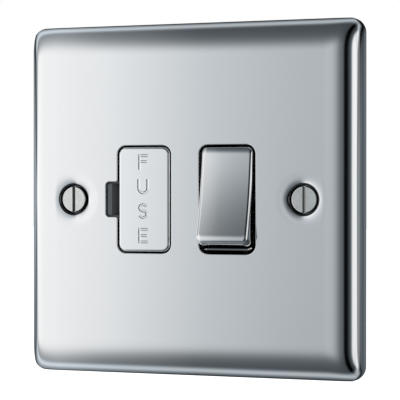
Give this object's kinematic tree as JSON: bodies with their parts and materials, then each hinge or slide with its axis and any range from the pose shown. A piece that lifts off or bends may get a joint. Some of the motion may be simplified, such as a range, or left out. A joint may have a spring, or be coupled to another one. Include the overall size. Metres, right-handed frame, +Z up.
{
  "type": "fused spur unit",
  "caption": "Square chrome wall plate with a pull-out fuse carrier and a rocker switch, wired from behind and fixed to a one-gang wall box.",
  "frame": {"origin": "middle of the plate, on the wall plane between the two fixing screws", "axes": "+Y into the wall along the fixing screws, +X to the right seen from the front, +Z up"},
  "size_m": [0.087, 0.0321, 0.087],
  "materials": {
    "plate_chrome": "mirror polished chrome plate on pressed steel",
    "screw_nickel": "turned satin nickel",
    "pillar_steel": "zinc plated steel",
    "frame_black": "fine satin moulding",
    "base_black": "fine matt moulding",
    "case_steel": "zinc plated steel",
    "terminal_brass": "sawn brass bar",
    "terminal_screw": "turned brass",
    "strap_brass": "stamped brass strip",
    "clip_bronze": "spring bronze strip",
    "arm_copper": "stamped copper strip",
    "contact_silver": "silver rivet",
    "rocker_chrome": "mirror polished chrome plate",
    "core_black": "fine satin moulding",
    "plunger_nylon": "natural nylon",
    "spring_steel": "drawn spring wire",
    "carrier_chrome": "mirror polished chrome plate",
    "carrier_black": "fine satin moulding",
    "fuse_ceramic": "unglazed ceramic tube",
    "fuse_nickel": "nickel plated brass cap"
  },
  "bodies": {
    "unit": {"front_plate": "plate_chrome", "fixing_screws": "screw_nickel", "plate_pillars": "pillar_steel", "inner_frame": "frame_black", "rear_base": "base_black", "case_screws": "case_steel", "terminal_live_in": "terminal_brass", "terminal_neutral_in": "terminal_brass", "terminal_live_out": "terminal_brass", "terminal_neutral_out": "terminal_brass", "terminals_earth": "terminal_brass", "terminal_screws": "terminal_screw", "strap_live_in": "strap_brass", "strap_neutral_in": "strap_brass", "strap_live_link": "strap_brass", "strap_live_out": "strap_brass", "strap_neutral_out": "strap_brass", "earth_strap": "strap_brass", "fuse_clip_supply": "clip_bronze", "fuse_clip_load": "clip_bronze", "fixed_tips": "contact_silver"},
    "rocker": {"rocker_cap": "rocker_chrome", "rocker_core": "core_black", "plungers": "plunger_nylon", "plunger_springs": "spring_steel"},
    "live_arm": {"contact_arm_live": "arm_copper", "arm_tip_live": "contact_silver"},
    "neutral_arm": {"contact_arm_neutral": "arm_copper", "arm_tip_neutral": "contact_silver"},
    "fuse_carrier": {"carrier_face": "carrier_chrome", "carrier_body": "carrier_black", "fuse_barrel": "fuse_ceramic", "fuse_caps": "fuse_nickel"}
  },
  "joints": [
    {"name": "rocker_hinge", "type": "hinge", "parent": "unit", "child": "rocker", "pos_m": [0.01075, -0.0034, 0], "axis": [1, 0, 0], "range_deg": [0, 22]},
    {"name": "live_arm_hinge", "type": "hinge", "parent": "unit", "child": "live_arm", "pos_m": [0.0075, 0.01035, 0], "axis": [1, 0, 0], "range_deg": [-17, 0]},
    {"name": "neutral_arm_hinge", "type": "hinge", "parent": "unit", "child": "neutral_arm", "pos_m": [0.014, 0.01035, 0], "axis": [1, 0, 0], "range_deg": [-17, 0]},
    {"name": "carrier_slide", "type": "slide", "parent": "unit", "child": "fuse_carrier", "axis": [0, -1, 0], "range_m": [0, 0.013]}
  ],
  "couplings": [
    {"joint": "live_arm_hinge", "follows": "rocker_hinge", "ratio": -0.77273},
    {"joint": "neutral_arm_hinge", "follows": "rocker_hinge", "ratio": -0.77273}
  ]
}
